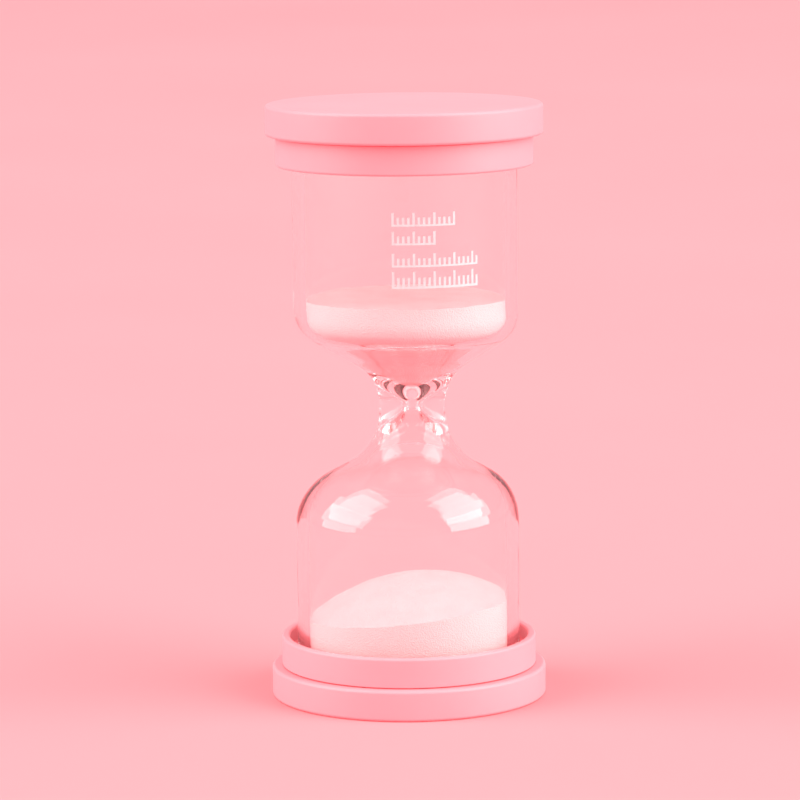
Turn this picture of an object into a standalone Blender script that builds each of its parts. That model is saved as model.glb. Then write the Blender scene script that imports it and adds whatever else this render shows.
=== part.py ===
"""A desk sand timer: one blown glass body, with its sand, held between two identical two-piece caps.

Metres, +Z up. The origin is the centre of the underside that the timer stands on, and +Z is its
axis. Every piece is turned about that axis. The caps press on to the ends of the glass, so each
pulls off along +Z.
"""

import math

import bmesh
import bpy

MM = 0.001
SIDES = 40  # facets round every turned piece
ARC_STEP = math.radians(22.5)  # one chord of a rounded corner
GAP = 0.3 * MM  # clearance between neighbouring pieces

HEIGHT = 108.0 * MM

# The end plate is a shallow dish, whose closed side is the outer face of the timer.
PLATE_RADIUS = 25.0 * MM
PLATE_HEIGHT = 5.6 * MM
PLATE_FLOOR = 2.0 * MM
PLATE_WALL = 2.3 * MM
PLATE_ROUND = 0.6 * MM

# The collar is a cup that sits in the plate. Its mouth is wider than the bore that grips the glass.
COLLAR_RADIUS = 23.2 * MM
COLLAR_TOP = 11.05 * MM
COLLAR_FLOOR = 1.4 * MM
COLLAR_ROUND = 0.5 * MM
MOUTH_RADIUS = 21.7 * MM
MOUTH_DEPTH = 2.75 * MM

# A foam ring in the bottom of the cup cushions the end of the glass.
PAD_THICKNESS = 1.2 * MM
PAD_RADIUS = 19.8 * MM
PAD_HOLE_RADIUS = 9.0 * MM

# The glass is a tube drawn in to a neck. Each cone starts nearest the neck at a radius and a
# height, and grows in radius by its flare for each step in height. On both sides of the orifice
# the bore opens steeply at first, as far as the start of the inner cone.
TUBE_RADIUS = 20.3 * MM
WALL = 2.2 * MM
END_ROUND = 3.0 * MM
NECK_RADIUS = 6.0 * MM
ORIFICE_RADIUS = 1.2 * MM
UPPER_OUTER_CONE = (NECK_RADIUS, 58.2 * MM, 1.62)
UPPER_INNER_CONE = (9.7 * MM, 62.6 * MM, 1.62)
LOWER_OUTER_CONE = (NECK_RADIUS, 45.5 * MM, -1.85)
LOWER_INNER_CONE = (8.5 * MM, 42.8 * MM, -1.85)
ORIFICE_TOP = 54.5 * MM
ORIFICE_BOTTOM = 52.5 * MM
UPPER_NECK_ROUND = 8.0 * MM
LOWER_NECK_ROUND = 11.0 * MM
THROAT_ROUND = 2.5 * MM
UPPER_THROAT_ROUND = 8.0 * MM
LOWER_THROAT_ROUND = 9.0 * MM
UPPER_SHOULDER_ROUND = 6.0 * MM
LOWER_SHOULDER_ROUND = 10.3 * MM
UPPER_INNER_ROUND = 4.0 * MM
LOWER_INNER_ROUND = 9.0 * MM

# The upper end of the glass has a fill hole, closed by a stopper.
FILL_HOLE_RADIUS = 6.0 * MM
STOPPER_HEAD_RADIUS = 8.0 * MM
STOPPER_HEAD = 1.0 * MM
STOPPER_REACH = 1.4 * MM
STOPPER_ROUND = 0.4 * MM

UPPER_SAND_LEVEL = 73.0 * MM
UPPER_SAND_DIP = 0.7 * MM
DIP_RADIUS = 11.8 * MM
UPPER_SAND_TIP = 55.4 * MM
LOWER_SAND_EDGE = 15.1 * MM
LOWER_SAND_RISE = 6.2 * MM
DOME_STEPS = 5

PAD_TOP = PLATE_FLOOR + COLLAR_FLOOR + PAD_THICKNESS + 2 * GAP
GLASS_BOTTOM = PAD_TOP + GAP
GLASS_TOP = HEIGHT - GLASS_BOTTOM
BORE_RADIUS = TUBE_RADIUS + GAP

PLASTIC = {"colour": (0.93, 0.50, 0.55), "roughness": 0.42}
FOAM = {"colour": (0.90, 0.82, 0.82), "roughness": 0.95}
RUBBER = {"colour": (0.86, 0.80, 0.78), "roughness": 0.60}
SAND = {"colour": (0.95, 0.74, 0.76), "roughness": 0.95}
GLASS = {"colour": (1.0, 0.98, 0.98), "roughness": 0.02, "transmission": 1.0}


def clear_scene():
    for thing in list(bpy.data.objects):
        bpy.data.objects.remove(thing)


def rounded(before, corner, after, radius):
    """The points of an arc of this radius that replaces a corner and touches both of its sides."""
    to_before = (before[0] - corner[0], before[1] - corner[1])
    to_after = (after[0] - corner[0], after[1] - corner[1])
    lengths = math.hypot(*to_before), math.hypot(*to_after)
    one = (to_before[0] / lengths[0], to_before[1] / lengths[0])
    two = (to_after[0] / lengths[1], to_after[1] / lengths[1])
    half = math.acos(one[0] * two[0] + one[1] * two[1]) / 2
    middle = (one[0] + two[0], one[1] + two[1])
    scale = radius / math.sin(half) / math.hypot(*middle)
    centre = (corner[0] + middle[0] * scale, corner[1] + middle[1] * scale)
    cut = radius / math.tan(half)
    start = math.atan2(corner[1] + one[1] * cut - centre[1], corner[0] + one[0] * cut - centre[0])
    end = math.atan2(corner[1] + two[1] * cut - centre[1], corner[0] + two[0] * cut - centre[0])
    sweep = (end - start + math.pi) % (2 * math.pi) - math.pi
    steps = max(1, round(abs(sweep) / ARC_STEP))
    angles = [start + sweep * i / steps for i in range(steps + 1)]
    return [(centre[0] + radius * math.cos(a), centre[1] + radius * math.sin(a)) for a in angles]


def outline(corners):
    """Points (radius, height) from corners (radius, height), or (radius, height, rounding)."""
    points = []
    for i, corner in enumerate(corners):
        if len(corner) == 3:
            before = corners[i - 1]
            after = corners[(i + 1) % len(corners)]
            points += rounded(before[:2], corner[:2], after[:2], corner[2])
        else:
            points.append(corner)
    return points


def turned(name, corners, on_axis):
    """A closed mesh, turned about Z. Unless its outline starts and ends on the axis, it is a ring."""
    points = outline(corners)
    shape = bmesh.new()
    line = [shape.verts.new((radius, 0, height)) for radius, height in points]
    edges = [shape.edges.new(pair) for pair in zip(line, line[1:])]
    if not on_axis:
        edges.append(shape.edges.new((line[-1], line[0])))
    turn = {"cent": (0, 0, 0), "axis": (0, 0, 1), "angle": 2 * math.pi, "steps": SIDES}
    bmesh.ops.spin(shape, geom=line + edges, use_merge=True, **turn)
    bmesh.ops.remove_doubles(shape, verts=shape.verts, dist=0.001 * MM)
    bmesh.ops.recalc_face_normals(shape, faces=shape.faces)
    mesh = bpy.data.meshes.new(name)
    shape.to_mesh(mesh)
    shape.free()
    mesh.shade_smooth()
    mesh.set_sharp_from_angle(angle=math.radians(35))
    mesh.materials.append(None)
    return mesh


def principled(name, colour, roughness, transmission=0.0):
    material = bpy.data.materials.new(name)
    material.use_nodes = True
    shader = material.node_tree.nodes["Principled BSDF"]
    shader.inputs["Base Color"].default_value = (*colour, 1.0)
    shader.inputs["Roughness"].default_value = roughness
    shader.inputs["Metallic"].default_value = 0.0
    shader.inputs["Transmission Weight"].default_value = transmission
    return material


def add_frame(name, height, turned_over=False):
    """An empty on the axis that carries the pieces which move together."""
    frame = bpy.data.objects.new(name, None)
    bpy.context.scene.collection.objects.link(frame)
    frame.location.z = height
    frame.rotation_euler.x = math.pi if turned_over else 0.0
    return frame


def add_piece(name, mesh, look, frame):
    piece = bpy.data.objects.new(name, mesh)
    bpy.context.scene.collection.objects.link(piece)
    piece.parent = frame
    piece.material_slots[0].link = "OBJECT"
    piece.material_slots[0].material = principled(name, **look)


def plate_mesh():
    inner = PLATE_RADIUS - PLATE_WALL
    corners = [
        (0, PLATE_FLOOR),
        (inner, PLATE_FLOOR),
        (inner, PLATE_HEIGHT),
        (PLATE_RADIUS, PLATE_HEIGHT, PLATE_ROUND),
        (PLATE_RADIUS, 0, PLATE_ROUND),
        (0, 0),
    ]
    return turned("end_plate", corners, on_axis=True)


def collar_mesh():
    skirt = PLATE_RADIUS - PLATE_WALL - GAP
    bottom = PLATE_FLOOR + GAP
    step = PLATE_HEIGHT + GAP
    corners = [
        (0, bottom + COLLAR_FLOOR),
        (BORE_RADIUS, bottom + COLLAR_FLOOR),
        (BORE_RADIUS, COLLAR_TOP - MOUTH_DEPTH),
        (MOUTH_RADIUS, COLLAR_TOP - MOUTH_DEPTH),
        (MOUTH_RADIUS, COLLAR_TOP, COLLAR_ROUND),
        (COLLAR_RADIUS, COLLAR_TOP, COLLAR_ROUND),
        (COLLAR_RADIUS, step),
        (skirt, step),
        (skirt, bottom),
        (0, bottom),
    ]
    return turned("collar", corners, on_axis=True)


def pad_mesh():
    top = PAD_TOP
    bottom = top - PAD_THICKNESS
    corners = [
        (PAD_HOLE_RADIUS, bottom),
        (PAD_HOLE_RADIUS, top),
        (PAD_RADIUS, top),
        (PAD_RADIUS, bottom),
    ]
    return turned("pad", corners, on_axis=False)


def cone_height(cone, radius, inset=0.0):
    """Where a cone reaches a radius, measured on the surface that lies this far inside it."""
    start_radius, start_height, flare = cone
    return start_height + (radius + inset * math.hypot(1, flare) - start_radius) / flare


def glass_mesh():
    bore = TUBE_RADIUS - WALL
    inner_end = END_ROUND - WALL / 2
    inside = [
        (0, GLASS_BOTTOM + WALL),
        (bore, GLASS_BOTTOM + WALL, inner_end),
        (bore, cone_height(LOWER_INNER_CONE, bore), LOWER_INNER_ROUND),
        (*LOWER_INNER_CONE[:2], LOWER_THROAT_ROUND),
        (ORIFICE_RADIUS, ORIFICE_BOTTOM, THROAT_ROUND),
        (ORIFICE_RADIUS, ORIFICE_TOP, THROAT_ROUND),
        (*UPPER_INNER_CONE[:2], UPPER_THROAT_ROUND),
        (bore, cone_height(UPPER_INNER_CONE, bore), UPPER_INNER_ROUND),
        (bore, GLASS_TOP - WALL, inner_end),
        (FILL_HOLE_RADIUS, GLASS_TOP - WALL),
    ]
    outside = [
        (FILL_HOLE_RADIUS, GLASS_TOP),
        (TUBE_RADIUS, GLASS_TOP, END_ROUND),
        (TUBE_RADIUS, cone_height(UPPER_OUTER_CONE, TUBE_RADIUS), UPPER_SHOULDER_ROUND),
        (*UPPER_OUTER_CONE[:2], UPPER_NECK_ROUND),
        (*LOWER_OUTER_CONE[:2], LOWER_NECK_ROUND),
        (TUBE_RADIUS, cone_height(LOWER_OUTER_CONE, TUBE_RADIUS), LOWER_SHOULDER_ROUND),
        (TUBE_RADIUS, GLASS_BOTTOM, END_ROUND),
        (0, GLASS_BOTTOM),
    ]
    return turned("glass", inside + outside, on_axis=True)


def stopper_mesh():
    stem = FILL_HOLE_RADIUS - GAP
    head = GLASS_TOP + GAP
    corners = [
        (0, head + STOPPER_HEAD),
        (STOPPER_HEAD_RADIUS, head + STOPPER_HEAD, STOPPER_ROUND),
        (STOPPER_HEAD_RADIUS, head),
        (stem, head),
        (stem, GLASS_TOP - WALL - STOPPER_REACH, STOPPER_ROUND),
        (0, GLASS_TOP - WALL - STOPPER_REACH),
    ]
    return turned("stopper", corners, on_axis=True)


def upper_sand_mesh():
    """The sand fills the funnel up to a level face with a shallow dip, where it drains."""
    edge = TUBE_RADIUS - WALL - GAP
    bend_radius, bend_height, flare = UPPER_INNER_CONE
    throat_flare = (bend_radius - ORIFICE_RADIUS) / (bend_height - ORIFICE_TOP)
    tip_radius = ORIFICE_RADIUS + (UPPER_SAND_TIP - ORIFICE_TOP) * throat_flare
    corners = [
        (0, UPPER_SAND_LEVEL - UPPER_SAND_DIP),
        (DIP_RADIUS, UPPER_SAND_LEVEL),
        (edge, UPPER_SAND_LEVEL),
        (edge, cone_height(UPPER_INNER_CONE, edge, GAP), UPPER_INNER_ROUND - GAP),
        (bend_radius - GAP * math.hypot(1, flare), bend_height),
        (tip_radius - GAP * math.hypot(1, throat_flare), UPPER_SAND_TIP),
        (0, UPPER_SAND_TIP),
    ]
    return turned("upper_sand", corners, on_axis=True)


def lower_sand_mesh():
    """The sand lies on the floor of the lower bulb as a low dome."""
    edge = TUBE_RADIUS - WALL - GAP
    floor = GLASS_BOTTOM + WALL + GAP
    corners = []
    for step in range(DOME_STEPS + 1):
        share = step / DOME_STEPS
        corners.append((edge * share, LOWER_SAND_EDGE + LOWER_SAND_RISE * (1 - share**2)))
    corners.append((edge, floor, END_ROUND - WALL / 2 - GAP))
    corners.append((0, floor))
    return turned("lower_sand", corners, on_axis=True)


def add_cap(end, frame, meshes):
    plate, collar, pad = meshes
    add_piece(end + "_end_plate", plate, PLASTIC, frame)
    add_piece(end + "_collar", collar, PLASTIC, frame)
    add_piece(end + "_pad", pad, FOAM, frame)


def build():
    clear_scene()
    cap_meshes = plate_mesh(), collar_mesh(), pad_mesh()
    add_cap("base", add_frame("base_cap_frame", 0.0), cap_meshes)
    add_cap("top", add_frame("top_cap_frame", HEIGHT, turned_over=True), cap_meshes)
    glass_frame = add_frame("glass_frame", 0.0)
    add_piece("glass_body", glass_mesh(), GLASS, glass_frame)
    add_piece("fill_stopper", stopper_mesh(), RUBBER, glass_frame)
    add_piece("upper_sand", upper_sand_mesh(), SAND, glass_frame)
    add_piece("lower_sand", lower_sand_mesh(), SAND, glass_frame)


build()
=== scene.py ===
"""The looks of a desk sand timer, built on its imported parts.

Metres, +Z up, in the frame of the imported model: the timer stands on z = 0 and its axis is x = y = 0.
Every piece is a fine version of the CAD node that it replaces, turned from the same profile.
"""

import math

import bmesh
import bpy
import numpy as np
from mathutils import Matrix, Vector, noise


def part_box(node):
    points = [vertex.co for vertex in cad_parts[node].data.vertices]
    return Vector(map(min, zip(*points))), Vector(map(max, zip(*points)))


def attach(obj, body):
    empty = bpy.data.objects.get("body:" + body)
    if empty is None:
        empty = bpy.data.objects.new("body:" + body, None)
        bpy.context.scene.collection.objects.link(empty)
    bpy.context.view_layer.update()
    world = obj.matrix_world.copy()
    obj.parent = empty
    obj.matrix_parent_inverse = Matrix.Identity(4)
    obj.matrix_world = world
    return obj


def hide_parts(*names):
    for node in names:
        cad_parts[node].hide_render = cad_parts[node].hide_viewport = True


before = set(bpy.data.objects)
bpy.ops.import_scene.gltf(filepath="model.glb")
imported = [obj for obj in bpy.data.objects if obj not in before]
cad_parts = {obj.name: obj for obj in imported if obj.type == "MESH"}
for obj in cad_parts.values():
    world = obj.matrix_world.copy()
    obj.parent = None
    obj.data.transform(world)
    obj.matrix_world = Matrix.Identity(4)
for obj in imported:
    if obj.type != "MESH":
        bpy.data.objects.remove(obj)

MM = 0.001
SIDES = 256  # facets round a turned piece
ARC_STEP = math.radians(6)  # one chord of a rounded corner
SHARP_ANGLE = math.radians(38)  # edges sharper than this are shaded as edges
GAP = 0.3 * MM  # clearance between neighbouring CAD pieces

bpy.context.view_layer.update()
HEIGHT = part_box("top_end_plate")[1].z
PLATE_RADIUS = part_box("base_end_plate")[1].x
PLATE_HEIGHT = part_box("base_end_plate")[1].z
COLLAR_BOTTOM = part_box("base_collar")[0].z
COLLAR_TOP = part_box("base_collar")[1].z
PAD_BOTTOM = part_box("base_pad")[0].z
PAD_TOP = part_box("base_pad")[1].z
PAD_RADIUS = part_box("base_pad")[1].x
TUBE_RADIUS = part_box("glass_body")[1].x
GLASS_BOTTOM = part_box("glass_body")[0].z
GLASS_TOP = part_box("glass_body")[1].z

# The end plate is a dish, and the collar a cup that stands in it.
PLATE_FLOOR = 2.0 * MM
PLATE_WALL = 2.3 * MM
PLATE_ROUND = 0.6 * MM
COLLAR_RADIUS = 23.2 * MM
COLLAR_FLOOR = 1.4 * MM
COLLAR_ROUND = 0.45 * MM
MOUTH_RADIUS = 21.7 * MM
MOUTH_DEPTH = 2.75 * MM
BORE_RADIUS = TUBE_RADIUS + GAP
BREAK = 0.15 * MM  # a moulded edge that is otherwise sharp
PAD_HOLE_RADIUS = 9.0 * MM

# Each cone of the glass: the radius and height that it starts from, and its gain in radius per height.
# On both sides of the orifice the bore opens steeply at first, as far as the start of the inner cone.
WALL = 2.2 * MM
END_ROUND = 3.0 * MM
NECK_RADIUS = 6.0 * MM
ORIFICE_RADIUS = 1.2 * MM
UPPER_OUTER_CONE = (NECK_RADIUS, 58.2 * MM, 1.62)
UPPER_INNER_CONE = (9.7 * MM, 62.6 * MM, 1.62)
LOWER_OUTER_CONE = (NECK_RADIUS, 45.5 * MM, -1.85)
LOWER_INNER_CONE = (8.5 * MM, 42.8 * MM, -1.85)
ORIFICE_TOP = 54.5 * MM
ORIFICE_BOTTOM = 52.5 * MM
UPPER_NECK_ROUND = 8.0 * MM
LOWER_NECK_ROUND = 11.0 * MM
THROAT_ROUND = 2.5 * MM
UPPER_THROAT_ROUND = 8.0 * MM
LOWER_THROAT_ROUND = 9.0 * MM
UPPER_SHOULDER_ROUND = 6.0 * MM
LOWER_SHOULDER_ROUND = 10.3 * MM
UPPER_INNER_ROUND = 4.0 * MM
LOWER_INNER_ROUND = 9.0 * MM
FILL_HOLE_RADIUS = 6.0 * MM
NECK_LEAN = 1.0 * MM  # hand-drawn glass: its neck lies this far to the right of the axis
LEAN_BOTTOM = 32.0 * MM  # the lean starts at this height, ends at the next and eases over the last
LEAN_TOP = 72.0 * MM
LEAN_EASE = 14.0 * MM
RIPPLE_SCALE = 110.0
RIPPLE_DEPTH = 0.05 * MM

STOPPER_HEAD_RADIUS = 8.0 * MM
STOPPER_HEAD = 1.0 * MM
STOPPER_REACH = 1.4 * MM

# The printed marks on the glass: each row's top, its height, and where it ends. Angles are in
# degrees from the front towards the right.
MARK_ROWS = (
    (90.3 * MM, 2.4 * MM, 24.5),
    (87.0 * MM, 2.4 * MM, 16.5),
    (83.1 * MM, 2.4 * MM, 38.5),
    (79.9 * MM, 3.0 * MM, 38.5),
)
MARK_START = -6.8
MARK_WIDTH = math.radians(1.2)
MARK_PITCH = math.radians(2.6)
MARK_SHORT = 0.35  # how much lower the short strokes are, as a share of the row's height
MARK_BASELINE = 0.86  # how far down the row's height its baseline starts

SAND_GAP = 0.12 * MM  # between the sand and the glass
UPPER_SAND_LEVEL = 73.0 * MM
UPPER_SAND_DIP = 0.7 * MM
DIP_RADIUS = 11.8 * MM
UPPER_SAND_TIP = 54.6 * MM
HEAP_BASE = 11.0 * MM  # below this the lower sand fills the bulb from wall to wall
HEAP_PEAK = Vector((3.3, 0.5, 22.1)) * MM
HEAP_BOW = 16.5  # drop below the peak, in metres, per square metre of distance from it

# Painted light: upright faces of the sand get a paler tone, which stands in for light reaching the sand at
# the glass. These are the steepness of the normal (0 for an upright face, 1 for a level one) where the
# pale tone starts and stops fading.
PAINTED_LIGHT_TILTS = (0.42, 0.6)
PAINTED_LIGHT_TONE = (0.97, 0.77, 0.78)

# Softboxes: name, azimuth and elevation in degrees, radiance, and width and height in degrees.
SOFTBOXES = (
    ("left_key", -77, 28, 3.8, (56, 26)),
    ("left_upper", -77, 53, 3.4, (40, 26)),
    ("left_low", -78, 9, 4.8, (44, 13)),
    ("right_key", 71, 28, 4.2, (56, 26)),
    ("right_upper", 71, 53, 3.7, (40, 26)),
    ("right_low", 69, 9, 7.2, (48, 13)),
)
SOFTBOX_COLOUR = (1.0, 0.97, 0.925)
ROOM_COLOUR = (1.0, 0.42, 0.45)
ROOM_STRENGTH = 1.15

CAMERA_PLACE = Vector((-1.2, -719.7, 165.2)) * MM
CAMERA_PITCH = math.radians(90 - 8.78)  # it looks 8.78 degrees down
CAMERA_ROLL = -0.0097


# ---------------------------------------------------------------- meshes


def rounded(before, corner, after, radius):
    """The points of an arc of this radius that replaces a corner and touches both of its sides."""
    to_before = (before[0] - corner[0], before[1] - corner[1])
    to_after = (after[0] - corner[0], after[1] - corner[1])
    lengths = math.hypot(*to_before), math.hypot(*to_after)
    one = (to_before[0] / lengths[0], to_before[1] / lengths[0])
    two = (to_after[0] / lengths[1], to_after[1] / lengths[1])
    half = math.acos(one[0] * two[0] + one[1] * two[1]) / 2
    middle = (one[0] + two[0], one[1] + two[1])
    scale = radius / math.sin(half) / math.hypot(*middle)
    centre = (corner[0] + middle[0] * scale, corner[1] + middle[1] * scale)
    cut = radius / math.tan(half)
    start = math.atan2(corner[1] + one[1] * cut - centre[1], corner[0] + one[0] * cut - centre[0])
    end = math.atan2(corner[1] + two[1] * cut - centre[1], corner[0] + two[0] * cut - centre[0])
    sweep = (end - start + math.pi) % (2 * math.pi) - math.pi
    steps = max(2, round(abs(sweep) / ARC_STEP))
    angles = [start + sweep * i / steps for i in range(steps + 1)]
    return [(centre[0] + radius * math.cos(a), centre[1] + radius * math.sin(a)) for a in angles]


def outline(corners, longest):
    """Points (radius, height) from corners (radius, height[, rounding]), no further apart than longest."""
    points = []
    for i, corner in enumerate(corners):
        if len(corner) == 3:
            before = corners[i - 1]
            after = corners[(i + 1) % len(corners)]
            points += rounded(before[:2], corner[:2], after[:2], corner[2])
        else:
            points.append(corner)
    spaced = [points[0]]
    for point in points[1:]:
        last = spaced[-1]
        parts = max(1, math.ceil(math.dist(last, point) / longest))
        for i in range(1, parts + 1):
            share = i / parts
            radius = last[0] + (point[0] - last[0]) * share
            height = last[1] + (point[1] - last[1]) * share
            spaced.append((radius, height))
    return spaced


def turned(name, corners, look, longest=1.5 * MM, on_axis=True, sides=SIDES):
    """A closed piece turned about Z. Unless its outline starts and ends on the axis, it is a ring."""
    points = outline(corners, longest)
    angles = np.arange(sides) * 2 * math.pi / sides
    rings = []
    vertices = []
    for radius, height in points:
        if radius < 1e-9:
            rings.append(np.full(sides, len(vertices)))
            vertices.append((0.0, 0.0, height))
        else:
            rings.append(np.arange(sides) + len(vertices))
            level = np.full(sides, height)
            ring = np.stack([radius * np.cos(angles), radius * np.sin(angles), level], axis=1)
            vertices.extend(map(tuple, ring))
    if not on_axis:
        rings.append(rings[0])
    faces = []
    for low, high in zip(rings, rings[1:]):
        low_next, high_next = np.roll(low, -1), np.roll(high, -1)
        if low[0] == low[1]:
            faces += [(a, b, c) for a, b, c in zip(low, high, high_next)]
        elif high[0] == high[1]:
            faces += [(a, b, c) for a, b, c in zip(low, high, low_next)]
        else:
            faces += list(zip(low, high, high_next, low_next))
    mesh = bpy.data.meshes.new(name)
    mesh.from_pydata(vertices, [], [tuple(int(i) for i in face) for face in faces])
    return finished(name, mesh, look)


def finished(name, mesh, look):
    """An object of this mesh, with its faces pointing out, shaded smooth and with its material."""
    shape = bmesh.new()
    shape.from_mesh(mesh)
    bmesh.ops.recalc_face_normals(shape, faces=shape.faces)
    shape.to_mesh(mesh)
    shape.free()
    mesh.shade_smooth()
    mesh.set_sharp_from_angle(angle=SHARP_ANGLE)
    mesh.materials.append(look)
    piece = bpy.data.objects.new(name, mesh)
    bpy.context.scene.collection.objects.link(piece)
    return piece


def reshape(piece, shift):
    """Moves each vertex of a piece by shift(vertex)."""
    for vertex in piece.data.vertices:
        vertex.co += shift(vertex.co)
    piece.data.update()


# ---------------------------------------------------------------- materials


def add(tree, kind, inputs=None, **settings):
    node = tree.nodes.new(kind)
    for name, value in settings.items():
        setattr(node, name, value)
    for name, value in (inputs or {}).items():
        node.inputs[name].default_value = value
    return node


def spread(tree, source, low, high):
    """Maps a texture's 0.3 to 0.7, where most of it lies, to low to high."""
    limits = {"From Min": 0.3, "From Max": 0.7, "To Min": low, "To Max": high}
    node = add(tree, "ShaderNodeMapRange", limits)
    tree.links.new(source, node.inputs["Value"])
    return node.outputs["Result"]


def blend_tones(tree, factor, first, second):
    node = add(tree, "ShaderNodeMix", data_type="RGBA")
    colour_a, colour_b = [socket for socket in node.inputs if socket.type == "RGBA"]
    colour_a.default_value = (*first, 1.0)
    colour_b.default_value = (*second, 1.0)
    tree.links.new(factor, node.inputs["Factor"])
    return next(socket for socket in node.outputs if socket.type == "RGBA")


def procedural(name, tones, cloud, grain, depth, roughness, cells=False, **sockets):
    """A Principled material with clouds of two tones, a bump of fine grain and uneven roughness.

    cloud and grain are the sizes of their features and depth the grain's height, all in metres.
    """
    material = bpy.data.materials.new(name)
    material.use_nodes = True
    tree = material.node_tree
    shader = tree.nodes["Principled BSDF"]
    place = add(tree, "ShaderNodeTexCoord").outputs["Object"]
    clouds = add(tree, "ShaderNodeTexNoise", {"Scale": 1 / cloud, "Detail": 4.0, "Roughness": 0.6})
    if cells:
        grains = add(tree, "ShaderNodeTexVoronoi", {"Scale": 1 / grain})
        height = grains.outputs["Distance"]
    else:
        grains = add(tree, "ShaderNodeTexNoise", {"Scale": 1 / grain, "Detail": 2.0, "Roughness": 0.55})
        height = grains.outputs["Fac"]
    tree.links.new(place, clouds.inputs["Vector"])
    tree.links.new(place, grains.inputs["Vector"])
    tones_mixed = blend_tones(tree, spread(tree, clouds.outputs["Fac"], 0.0, 1.0), *tones)
    tree.links.new(tones_mixed, shader.inputs["Base Color"])
    tree.links.new(spread(tree, clouds.outputs["Fac"], *roughness), shader.inputs["Roughness"])
    bump = add(tree, "ShaderNodeBump", {"Strength": 1.0, "Distance": depth})
    tree.links.new(height, bump.inputs["Height"])
    tree.links.new(bump.outputs["Normal"], shader.inputs["Normal"])
    for socket, value in sockets.items():
        shader.inputs[socket.replace("_", " ")].default_value = value
    return material


def sand_material():
    """Fine dry grains. Upright faces get a paler tone than level ones: painted light, which stands in
    for the light that reaches the sand at the glass."""
    material = procedural(
        "pink_sand",
        tones=((0.94, 0.58, 0.60), (0.96, 0.64, 0.66)),
        cloud=5.0 * MM,
        grain=0.24 * MM,
        depth=0.1 * MM,
        roughness=(0.9, 1.0),
        cells=True,
    )
    tree = material.node_tree
    shader = tree.nodes["Principled BSDF"]
    loose = shader.inputs["Base Color"].links[0].from_socket
    # Painted light: by the tilt of the face, upright faces are mixed towards a paler tone.
    upright = add(tree, "ShaderNodeSeparateXYZ")
    tree.links.new(add(tree, "ShaderNodeNewGeometry").outputs["Normal"], upright.inputs["Vector"])
    tilt = add(tree, "ShaderNodeMath", operation="ABSOLUTE")
    tree.links.new(upright.outputs["Z"], tilt.inputs[0])
    limits = {"From Min": PAINTED_LIGHT_TILTS[0], "From Max": PAINTED_LIGHT_TILTS[1], "To Min": 1.0, "To Max": 0.0}
    painted_light_mask = add(tree, "ShaderNodeMapRange", limits)
    tree.links.new(tilt.outputs["Value"], painted_light_mask.inputs["Value"])
    paler = add(tree, "ShaderNodeMix", data_type="RGBA")
    first, second = [socket for socket in paler.inputs if socket.type == "RGBA"]
    second.default_value = (*PAINTED_LIGHT_TONE, 1.0)
    tree.links.new(loose, first)
    tree.links.new(painted_light_mask.outputs["Result"], paler.inputs["Factor"])
    output = next(socket for socket in paler.outputs if socket.type == "RGBA")
    tree.links.new(output, shader.inputs["Base Color"])
    return material


def glass_material():
    """Clear blown glass. Lamps and soft light pass straight through it, so the sand inside is lit."""
    material = bpy.data.materials.new("clear_glass")
    material.use_nodes = True
    tree = material.node_tree
    shader = tree.nodes["Principled BSDF"]
    shader.inputs["Base Color"].default_value = (0.995, 0.982, 0.983, 1.0)
    shader.inputs["Roughness"].default_value = 0.0
    shader.inputs["IOR"].default_value = 1.48
    shader.inputs["Transmission Weight"].default_value = 1.0
    place = add(tree, "ShaderNodeTexCoord").outputs["Object"]
    ripples = add(tree, "ShaderNodeTexNoise", {"Scale": RIPPLE_SCALE, "Detail": 1.0})
    bump = add(tree, "ShaderNodeBump", {"Strength": 1.0, "Distance": RIPPLE_DEPTH})
    tree.links.new(place, ripples.inputs["Vector"])
    tree.links.new(ripples.outputs["Fac"], bump.inputs["Height"])
    tree.links.new(bump.outputs["Normal"], shader.inputs["Normal"])
    rays = add(tree, "ShaderNodeLightPath")
    clear = add(tree, "ShaderNodeBsdfTransparent", {"Color": (0.92, 0.90, 0.90, 1.0)})
    surface = shader.outputs["BSDF"]
    for kind in ("Is Diffuse Ray", "Is Shadow Ray"):
        mix = add(tree, "ShaderNodeMixShader")
        tree.links.new(rays.outputs[kind], mix.inputs["Fac"])
        tree.links.new(surface, mix.inputs[1])
        tree.links.new(clear.outputs["BSDF"], mix.inputs[2])
        surface = mix.outputs["Shader"]
    tree.links.new(surface, tree.nodes["Material Output"].inputs["Surface"])
    return material


def make_materials():
    plastic = procedural(
        "pink_plastic",
        tones=((0.94, 0.35, 0.395), (0.95, 0.365, 0.41)),
        cloud=14.0 * MM,
        grain=0.16 * MM,
        depth=0.004 * MM,
        roughness=(0.40, 0.48),
    )
    foam = procedural(
        "pad_foam",
        tones=((0.88, 0.78, 0.78), (0.93, 0.85, 0.85)),
        cloud=3.0 * MM,
        grain=0.5 * MM,
        depth=0.12 * MM,
        roughness=(0.9, 1.0),
        cells=True,
    )
    silicone = procedural(
        "stopper_silicone",
        tones=((0.86, 0.80, 0.78), (0.90, 0.85, 0.83)),
        cloud=4.0 * MM,
        grain=0.3 * MM,
        depth=0.01 * MM,
        roughness=(0.45, 0.6),
        Subsurface_Weight=0.3,
        Subsurface_Scale=1.0 * MM,
    )
    ink = procedural(
        "white_ink",
        tones=((0.95, 0.62, 0.63), (0.97, 0.70, 0.71)),
        cloud=1.0 * MM,
        grain=0.12 * MM,
        depth=0.004 * MM,
        roughness=(0.5, 0.65),
    )
    return {
        "plastic": plastic,
        "foam": foam,
        "silicone": silicone,
        "ink": ink,
        "sand": sand_material(),
        "glass": glass_material(),
    }


# ---------------------------------------------------------------- caps


def plate_corners():
    inner = PLATE_RADIUS - PLATE_WALL
    return [
        (0, PLATE_FLOOR),
        (inner, PLATE_FLOOR, BREAK),
        (inner, PLATE_HEIGHT, BREAK),
        (PLATE_RADIUS, PLATE_HEIGHT, PLATE_ROUND),
        (PLATE_RADIUS, 0, PLATE_ROUND),
        (0, 0),
    ]


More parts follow.
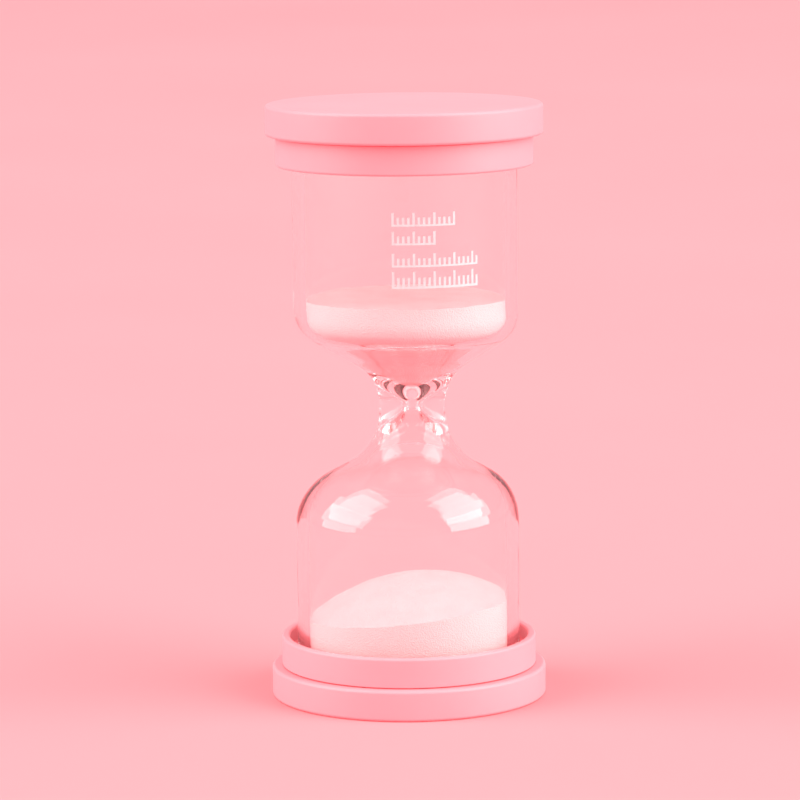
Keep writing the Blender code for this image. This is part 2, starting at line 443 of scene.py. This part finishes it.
def collar_corners():
    skirt = PLATE_RADIUS - PLATE_WALL - GAP
    step = PLATE_HEIGHT + GAP / 2
    return [
        (0, COLLAR_BOTTOM + COLLAR_FLOOR),
        (BORE_RADIUS, COLLAR_BOTTOM + COLLAR_FLOOR, BREAK),
        (BORE_RADIUS, COLLAR_TOP - MOUTH_DEPTH, BREAK),
        (MOUTH_RADIUS, COLLAR_TOP - MOUTH_DEPTH, BREAK),
        (MOUTH_RADIUS, COLLAR_TOP, COLLAR_ROUND),
        (COLLAR_RADIUS, COLLAR_TOP, COLLAR_ROUND),
        (COLLAR_RADIUS, step, BREAK),
        (skirt, step),
        (skirt, COLLAR_BOTTOM, BREAK),
        (0, COLLAR_BOTTOM),
    ]


def pad_corners():
    edge = 0.35 * MM
    return [
        (PAD_HOLE_RADIUS, PAD_BOTTOM, edge),
        (PAD_HOLE_RADIUS, PAD_TOP, edge),
        (PAD_RADIUS, PAD_TOP, edge),
        (PAD_RADIUS, PAD_BOTTOM, edge),
    ]


def make_cap(end, looks):
    """One cap's pieces, in place on the body of its end, "base" or "top"."""
    plate = turned(end + "_plate_fine", plate_corners(), looks["plastic"])
    collar = turned(end + "_collar_fine", collar_corners(), looks["plastic"])
    pad = turned(end + "_pad_fine", pad_corners(), looks["foam"], longest=0.5 * MM, on_axis=False)
    pieces = {plate: "_end_plate", collar: "_collar", pad: "_pad"}
    for piece, node in pieces.items():
        if end == "top":
            piece.data.transform(Matrix.Translation((0, 0, HEIGHT)) @ Matrix.Rotation(math.pi, 4, "X"))
        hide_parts(end + node)
        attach(piece, end + "_cap")


# ---------------------------------------------------------------- glass and sand


def cone_height(cone, radius, inset=0.0):
    """Where a cone reaches a radius, measured on the surface that lies this far inside it."""
    start_radius, start_height, flare = cone
    return start_height + (radius + inset * math.hypot(1, flare) - start_radius) / flare


def glass_corners():
    bore = TUBE_RADIUS - WALL
    inner_end = END_ROUND - WALL / 2
    lip = WALL / 2 - 0.1 * MM
    inside = [
        (0, GLASS_BOTTOM + WALL),
        (bore, GLASS_BOTTOM + WALL, inner_end),
        (bore, cone_height(LOWER_INNER_CONE, bore), LOWER_INNER_ROUND),
        (*LOWER_INNER_CONE[:2], LOWER_THROAT_ROUND),
        (ORIFICE_RADIUS, ORIFICE_BOTTOM, THROAT_ROUND),
        (ORIFICE_RADIUS, ORIFICE_TOP, THROAT_ROUND),
        (*UPPER_INNER_CONE[:2], UPPER_THROAT_ROUND),
        (bore, cone_height(UPPER_INNER_CONE, bore), UPPER_INNER_ROUND),
        (bore, GLASS_TOP - WALL, inner_end),
        (FILL_HOLE_RADIUS, GLASS_TOP - WALL, lip),
    ]
    outside = [
        (FILL_HOLE_RADIUS, GLASS_TOP, lip),
        (TUBE_RADIUS, GLASS_TOP, END_ROUND),
        (TUBE_RADIUS, cone_height(UPPER_OUTER_CONE, TUBE_RADIUS), UPPER_SHOULDER_ROUND),
        (*UPPER_OUTER_CONE[:2], UPPER_NECK_ROUND),
        (*LOWER_OUTER_CONE[:2], LOWER_NECK_ROUND),
        (TUBE_RADIUS, cone_height(LOWER_OUTER_CONE, TUBE_RADIUS), LOWER_SHOULDER_ROUND),
        (TUBE_RADIUS, GLASS_BOTTOM, END_ROUND),
        (0, GLASS_BOTTOM),
    ]
    return inside + outside


def stopper_corners():
    stem = FILL_HOLE_RADIUS - GAP
    head = GLASS_TOP + GAP
    return [
        (0, head + STOPPER_HEAD),
        (STOPPER_HEAD_RADIUS, head + STOPPER_HEAD, 0.4 * MM),
        (STOPPER_HEAD_RADIUS, head, 0.2 * MM),
        (stem, head),
        (stem, GLASS_TOP - WALL - STOPPER_REACH, 0.4 * MM),
        (0, GLASS_TOP - WALL - STOPPER_REACH),
    ]


def upper_sand_corners():
    edge = TUBE_RADIUS - WALL - SAND_GAP
    bend_radius, bend_height, flare = UPPER_INNER_CONE
    throat_flare = (bend_radius - ORIFICE_RADIUS) / (bend_height - ORIFICE_TOP)
    tip_radius = ORIFICE_RADIUS + (UPPER_SAND_TIP - ORIFICE_TOP) * throat_flare
    return [
        (0, UPPER_SAND_LEVEL - UPPER_SAND_DIP),
        (DIP_RADIUS, UPPER_SAND_LEVEL),
        (edge, UPPER_SAND_LEVEL),
        (edge, cone_height(UPPER_INNER_CONE, edge, SAND_GAP), UPPER_INNER_ROUND - SAND_GAP),
        (bend_radius - SAND_GAP * math.hypot(1, flare), bend_height, UPPER_THROAT_ROUND),
        (tip_radius - SAND_GAP * math.hypot(1, throat_flare), UPPER_SAND_TIP),
        (0, UPPER_SAND_TIP),
    ]


def lower_sand_corners():
    edge = TUBE_RADIUS - WALL - SAND_GAP
    floor = GLASS_BOTTOM + WALL + SAND_GAP
    top = HEAP_BASE + 1 * MM
    return [
        (0, top),
        (edge, top),
        (edge, HEAP_BASE),
        (edge, floor, END_ROUND - WALL / 2 - SAND_GAP),
        (0, floor),
    ]


def eased(share):
    share = min(max(share, 0.0), 1.0)
    return share * share * (3 - 2 * share)


def neck_lean(place):
    """The neck stands a little to one side, and the cones on either side of it lean to meet it."""
    below = eased((place.z - LEAN_BOTTOM) / LEAN_EASE)
    above = eased((LEAN_TOP - place.z) / LEAN_EASE)
    return Vector((NECK_LEAN * below * above, 0, 0))


def grain_lift(place, size, height):
    """The unevenness of loose sand: soft mounds of this size, with finer ones on them."""
    coarse = noise.noise(place / size)
    fine = noise.noise(place / (size * 0.27) + Vector((7.1, 3.3, 1.9)))
    return height * (coarse + 0.45 * fine)


def heaped(place):
    """Raises the flat top of the lower sand to the dome that it falls into, right of the axis."""
    if place.z < HEAP_BASE + 0.9 * MM:
        return Vector((0, 0, 0))
    away = math.hypot(place.x - HEAP_PEAK.x, place.y - HEAP_PEAK.y)
    lift = HEAP_PEAK.z - HEAP_BOW * away**2 - place.z + grain_lift(place, 3.4 * MM, 0.16 * MM)
    return Vector((0, 0, lift))


def settled(place):
    """The uneven level face of the upper sand, and its lean with the glass."""
    shift = neck_lean(place)
    face = UPPER_SAND_LEVEL - UPPER_SAND_DIP - 0.05 * MM
    if place.z > face and math.hypot(*place.xy) < TUBE_RADIUS - WALL:
        shift.z += grain_lift(place, 3.0 * MM, 0.12 * MM)
    return shift


def add_bar(shape, start, end, bottom, top):
    """A thin curved bar on the front of the glass, between two angles and two heights."""
    inner, outer = TUBE_RADIUS + 0.01 * MM, TUBE_RADIUS + 0.05 * MM
    steps = max(1, math.ceil((end - start) / math.radians(2)))
    sections = []
    for i in range(steps + 1):
        angle = start + (end - start) * i / steps
        across = Vector((math.sin(angle), -math.cos(angle), 0))
        corners = [(inner, bottom), (outer, bottom), (outer, top), (inner, top)]
        places = [across * radius + Vector((0, 0, height)) for radius, height in corners]
        sections.append([shape.verts.new(place) for place in places])
    for one, two in zip(sections, sections[1:]):
        for i in range(4):
            shape.faces.new((one[i], two[i], two[(i + 1) % 4], one[(i + 1) % 4]))
    shape.faces.new(sections[0])
    shape.faces.new(sections[-1])


def make_marks(looks):
    """Four rows of plain upright strokes, like a ruler's, printed on the front of the glass."""
    shape = bmesh.new()
    for top, height, end in MARK_ROWS:
        stroke = math.radians(MARK_START)
        count = 0
        while stroke < math.radians(end):
            short = 0.0 if count % 4 == 0 else MARK_SHORT * height
            add_bar(shape, stroke, stroke + MARK_WIDTH, top - height, top - short)
            stroke += MARK_PITCH
            count += 1
        last_end = stroke - MARK_PITCH + MARK_WIDTH
        add_bar(shape, math.radians(MARK_START), last_end, top - height, top - height * MARK_BASELINE)
    mesh = bpy.data.meshes.new("printed_marks")
    shape.to_mesh(mesh)
    shape.free()
    marks = finished("printed_marks", mesh, looks["ink"])
    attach(marks, "glass")


def make_glass_unit(looks):
    body = turned("glass_fine", glass_corners(), looks["glass"], longest=1.0 * MM)
    stopper = turned("stopper_fine", stopper_corners(), looks["silicone"])
    upper = turned("upper_sand_fine", upper_sand_corners(), looks["sand"], longest=0.4 * MM)
    lower = turned("lower_sand_fine", lower_sand_corners(), looks["sand"], longest=0.4 * MM)
    reshape(body, neck_lean)
    reshape(upper, settled)
    reshape(lower, heaped)
    nodes = {body: "glass_body", stopper: "fill_stopper", upper: "upper_sand", lower: "lower_sand"}
    for piece, node in nodes.items():
        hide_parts(node)
        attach(piece, "glass")


# ---------------------------------------------------------------- studio


def make_floor():
    """A pale pink floor that sweeps up into a low wall all round, far from the timer."""
    paper = procedural(
        "pink_paper",
        tones=((0.90, 0.31, 0.34), (0.91, 0.32, 0.35)),
        cloud=0.25,
        grain=1.2 * MM,
        depth=0.01 * MM,
        roughness=(0.75, 0.85),
    )
    wall_radius = 4.0
    wall_height = 0.25
    corners = [
        (0, 0),
        (wall_radius, 0, 0.2),
        (wall_radius, wall_height),
        (wall_radius + 0.05, wall_height),
        (wall_radius + 0.05, -0.05),
        (0, -0.05),
    ]
    floor = turned("studio_floor", corners, paper, longest=0.5, sides=96)


def make_softbox(name, azimuth, elevation, radiance, size):
    """A large softbox far off. Angles are in degrees: azimuth from the camera's side towards the
    right, elevation, and the width and height that it is seen to have from the timer."""
    distance = 10.0
    turn, rise = math.radians(azimuth), math.radians(elevation)
    away = Vector((math.sin(turn) * math.cos(rise), -math.cos(turn) * math.cos(rise), math.sin(rise)))
    lamp = bpy.data.lights.new(name, "AREA")
    lamp.shape = "RECTANGLE"
    lamp.size = 2 * distance * math.tan(math.radians(size[0]) / 2)
    lamp.size_y = 2 * distance * math.tan(math.radians(size[1]) / 2)
    lamp.energy = radiance * math.pi * lamp.size * lamp.size_y
    lamp.color = SOFTBOX_COLOUR
    box = bpy.data.objects.new(name, lamp)
    bpy.context.scene.collection.objects.link(box)
    box.location = away * distance
    box.rotation_euler = away.to_track_quat("Z", "Y").to_euler()
    box.visible_camera = False


def make_lights():
    """Three softboxes one above another on each side, and a pink room."""
    for name, azimuth, elevation, radiance, size in SOFTBOXES:
        make_softbox(name, azimuth, elevation, radiance, size)
    world = bpy.data.worlds.new("pink_room")
    world.use_nodes = True
    background = world.node_tree.nodes["Background"]
    background.inputs["Color"].default_value = (*ROOM_COLOUR, 1.0)
    background.inputs["Strength"].default_value = ROOM_STRENGTH
    bpy.context.scene.world = world


def make_camera():
    lens = bpy.data.cameras.new("camera")
    lens.sensor_width = 36.0
    lens.lens = 180.6
    lens.clip_start = 0.05
    lens.clip_end = 30.0
    camera = bpy.data.objects.new("camera", lens)
    bpy.context.scene.collection.objects.link(camera)
    pitch = Matrix.Rotation(CAMERA_PITCH, 4, "X")
    roll = Matrix.Rotation(CAMERA_ROLL, 4, "Z")
    camera.matrix_world = Matrix.Translation(CAMERA_PLACE) @ pitch @ roll
    bpy.context.scene.camera = camera


def main():
    looks = make_materials()
    make_camera()
    make_lights()
    make_floor()
    make_cap("base", looks)
    make_cap("top", looks)
    make_glass_unit(looks)
    make_marks(looks)
    bpy.context.scene.view_settings.view_transform = "Standard"
    # Light turns many times inside thick glass, and the usual limits would leave black patches in it.
    cycles = bpy.context.scene.cycles
    cycles.max_bounces = 32
    cycles.glossy_bounces = 16
    cycles.transmission_bounces = 24


main()
